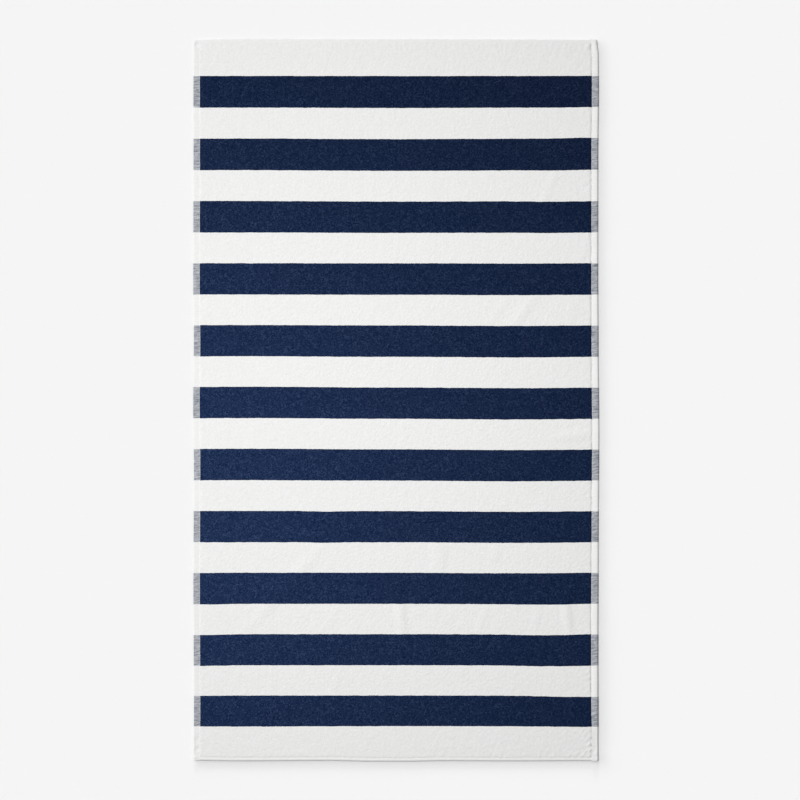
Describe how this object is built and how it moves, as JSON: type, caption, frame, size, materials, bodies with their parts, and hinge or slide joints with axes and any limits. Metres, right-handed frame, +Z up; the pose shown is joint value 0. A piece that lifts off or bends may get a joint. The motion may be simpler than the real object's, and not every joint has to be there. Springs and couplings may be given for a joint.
{
  "type": "beach towel",
  "caption": "Large flat terry beach towel with wide crosswise stripes in navy and white, woven side hems and narrow turned end hems.",
  "frame": {"origin": "centre of the towel on the surface that it lies on", "axes": "+Y along the towel's length, +X across its width, +Z up out of the pile"},
  "size_m": [0.9992, 1.7777, 0.0057],
  "materials": {
    "striped_terry": "cotton terry loops, white with navy stripes"
  },
  "bodies": {
    "root": {"towel_cloth": "striped_terry"}
  },
  "joints": []
}
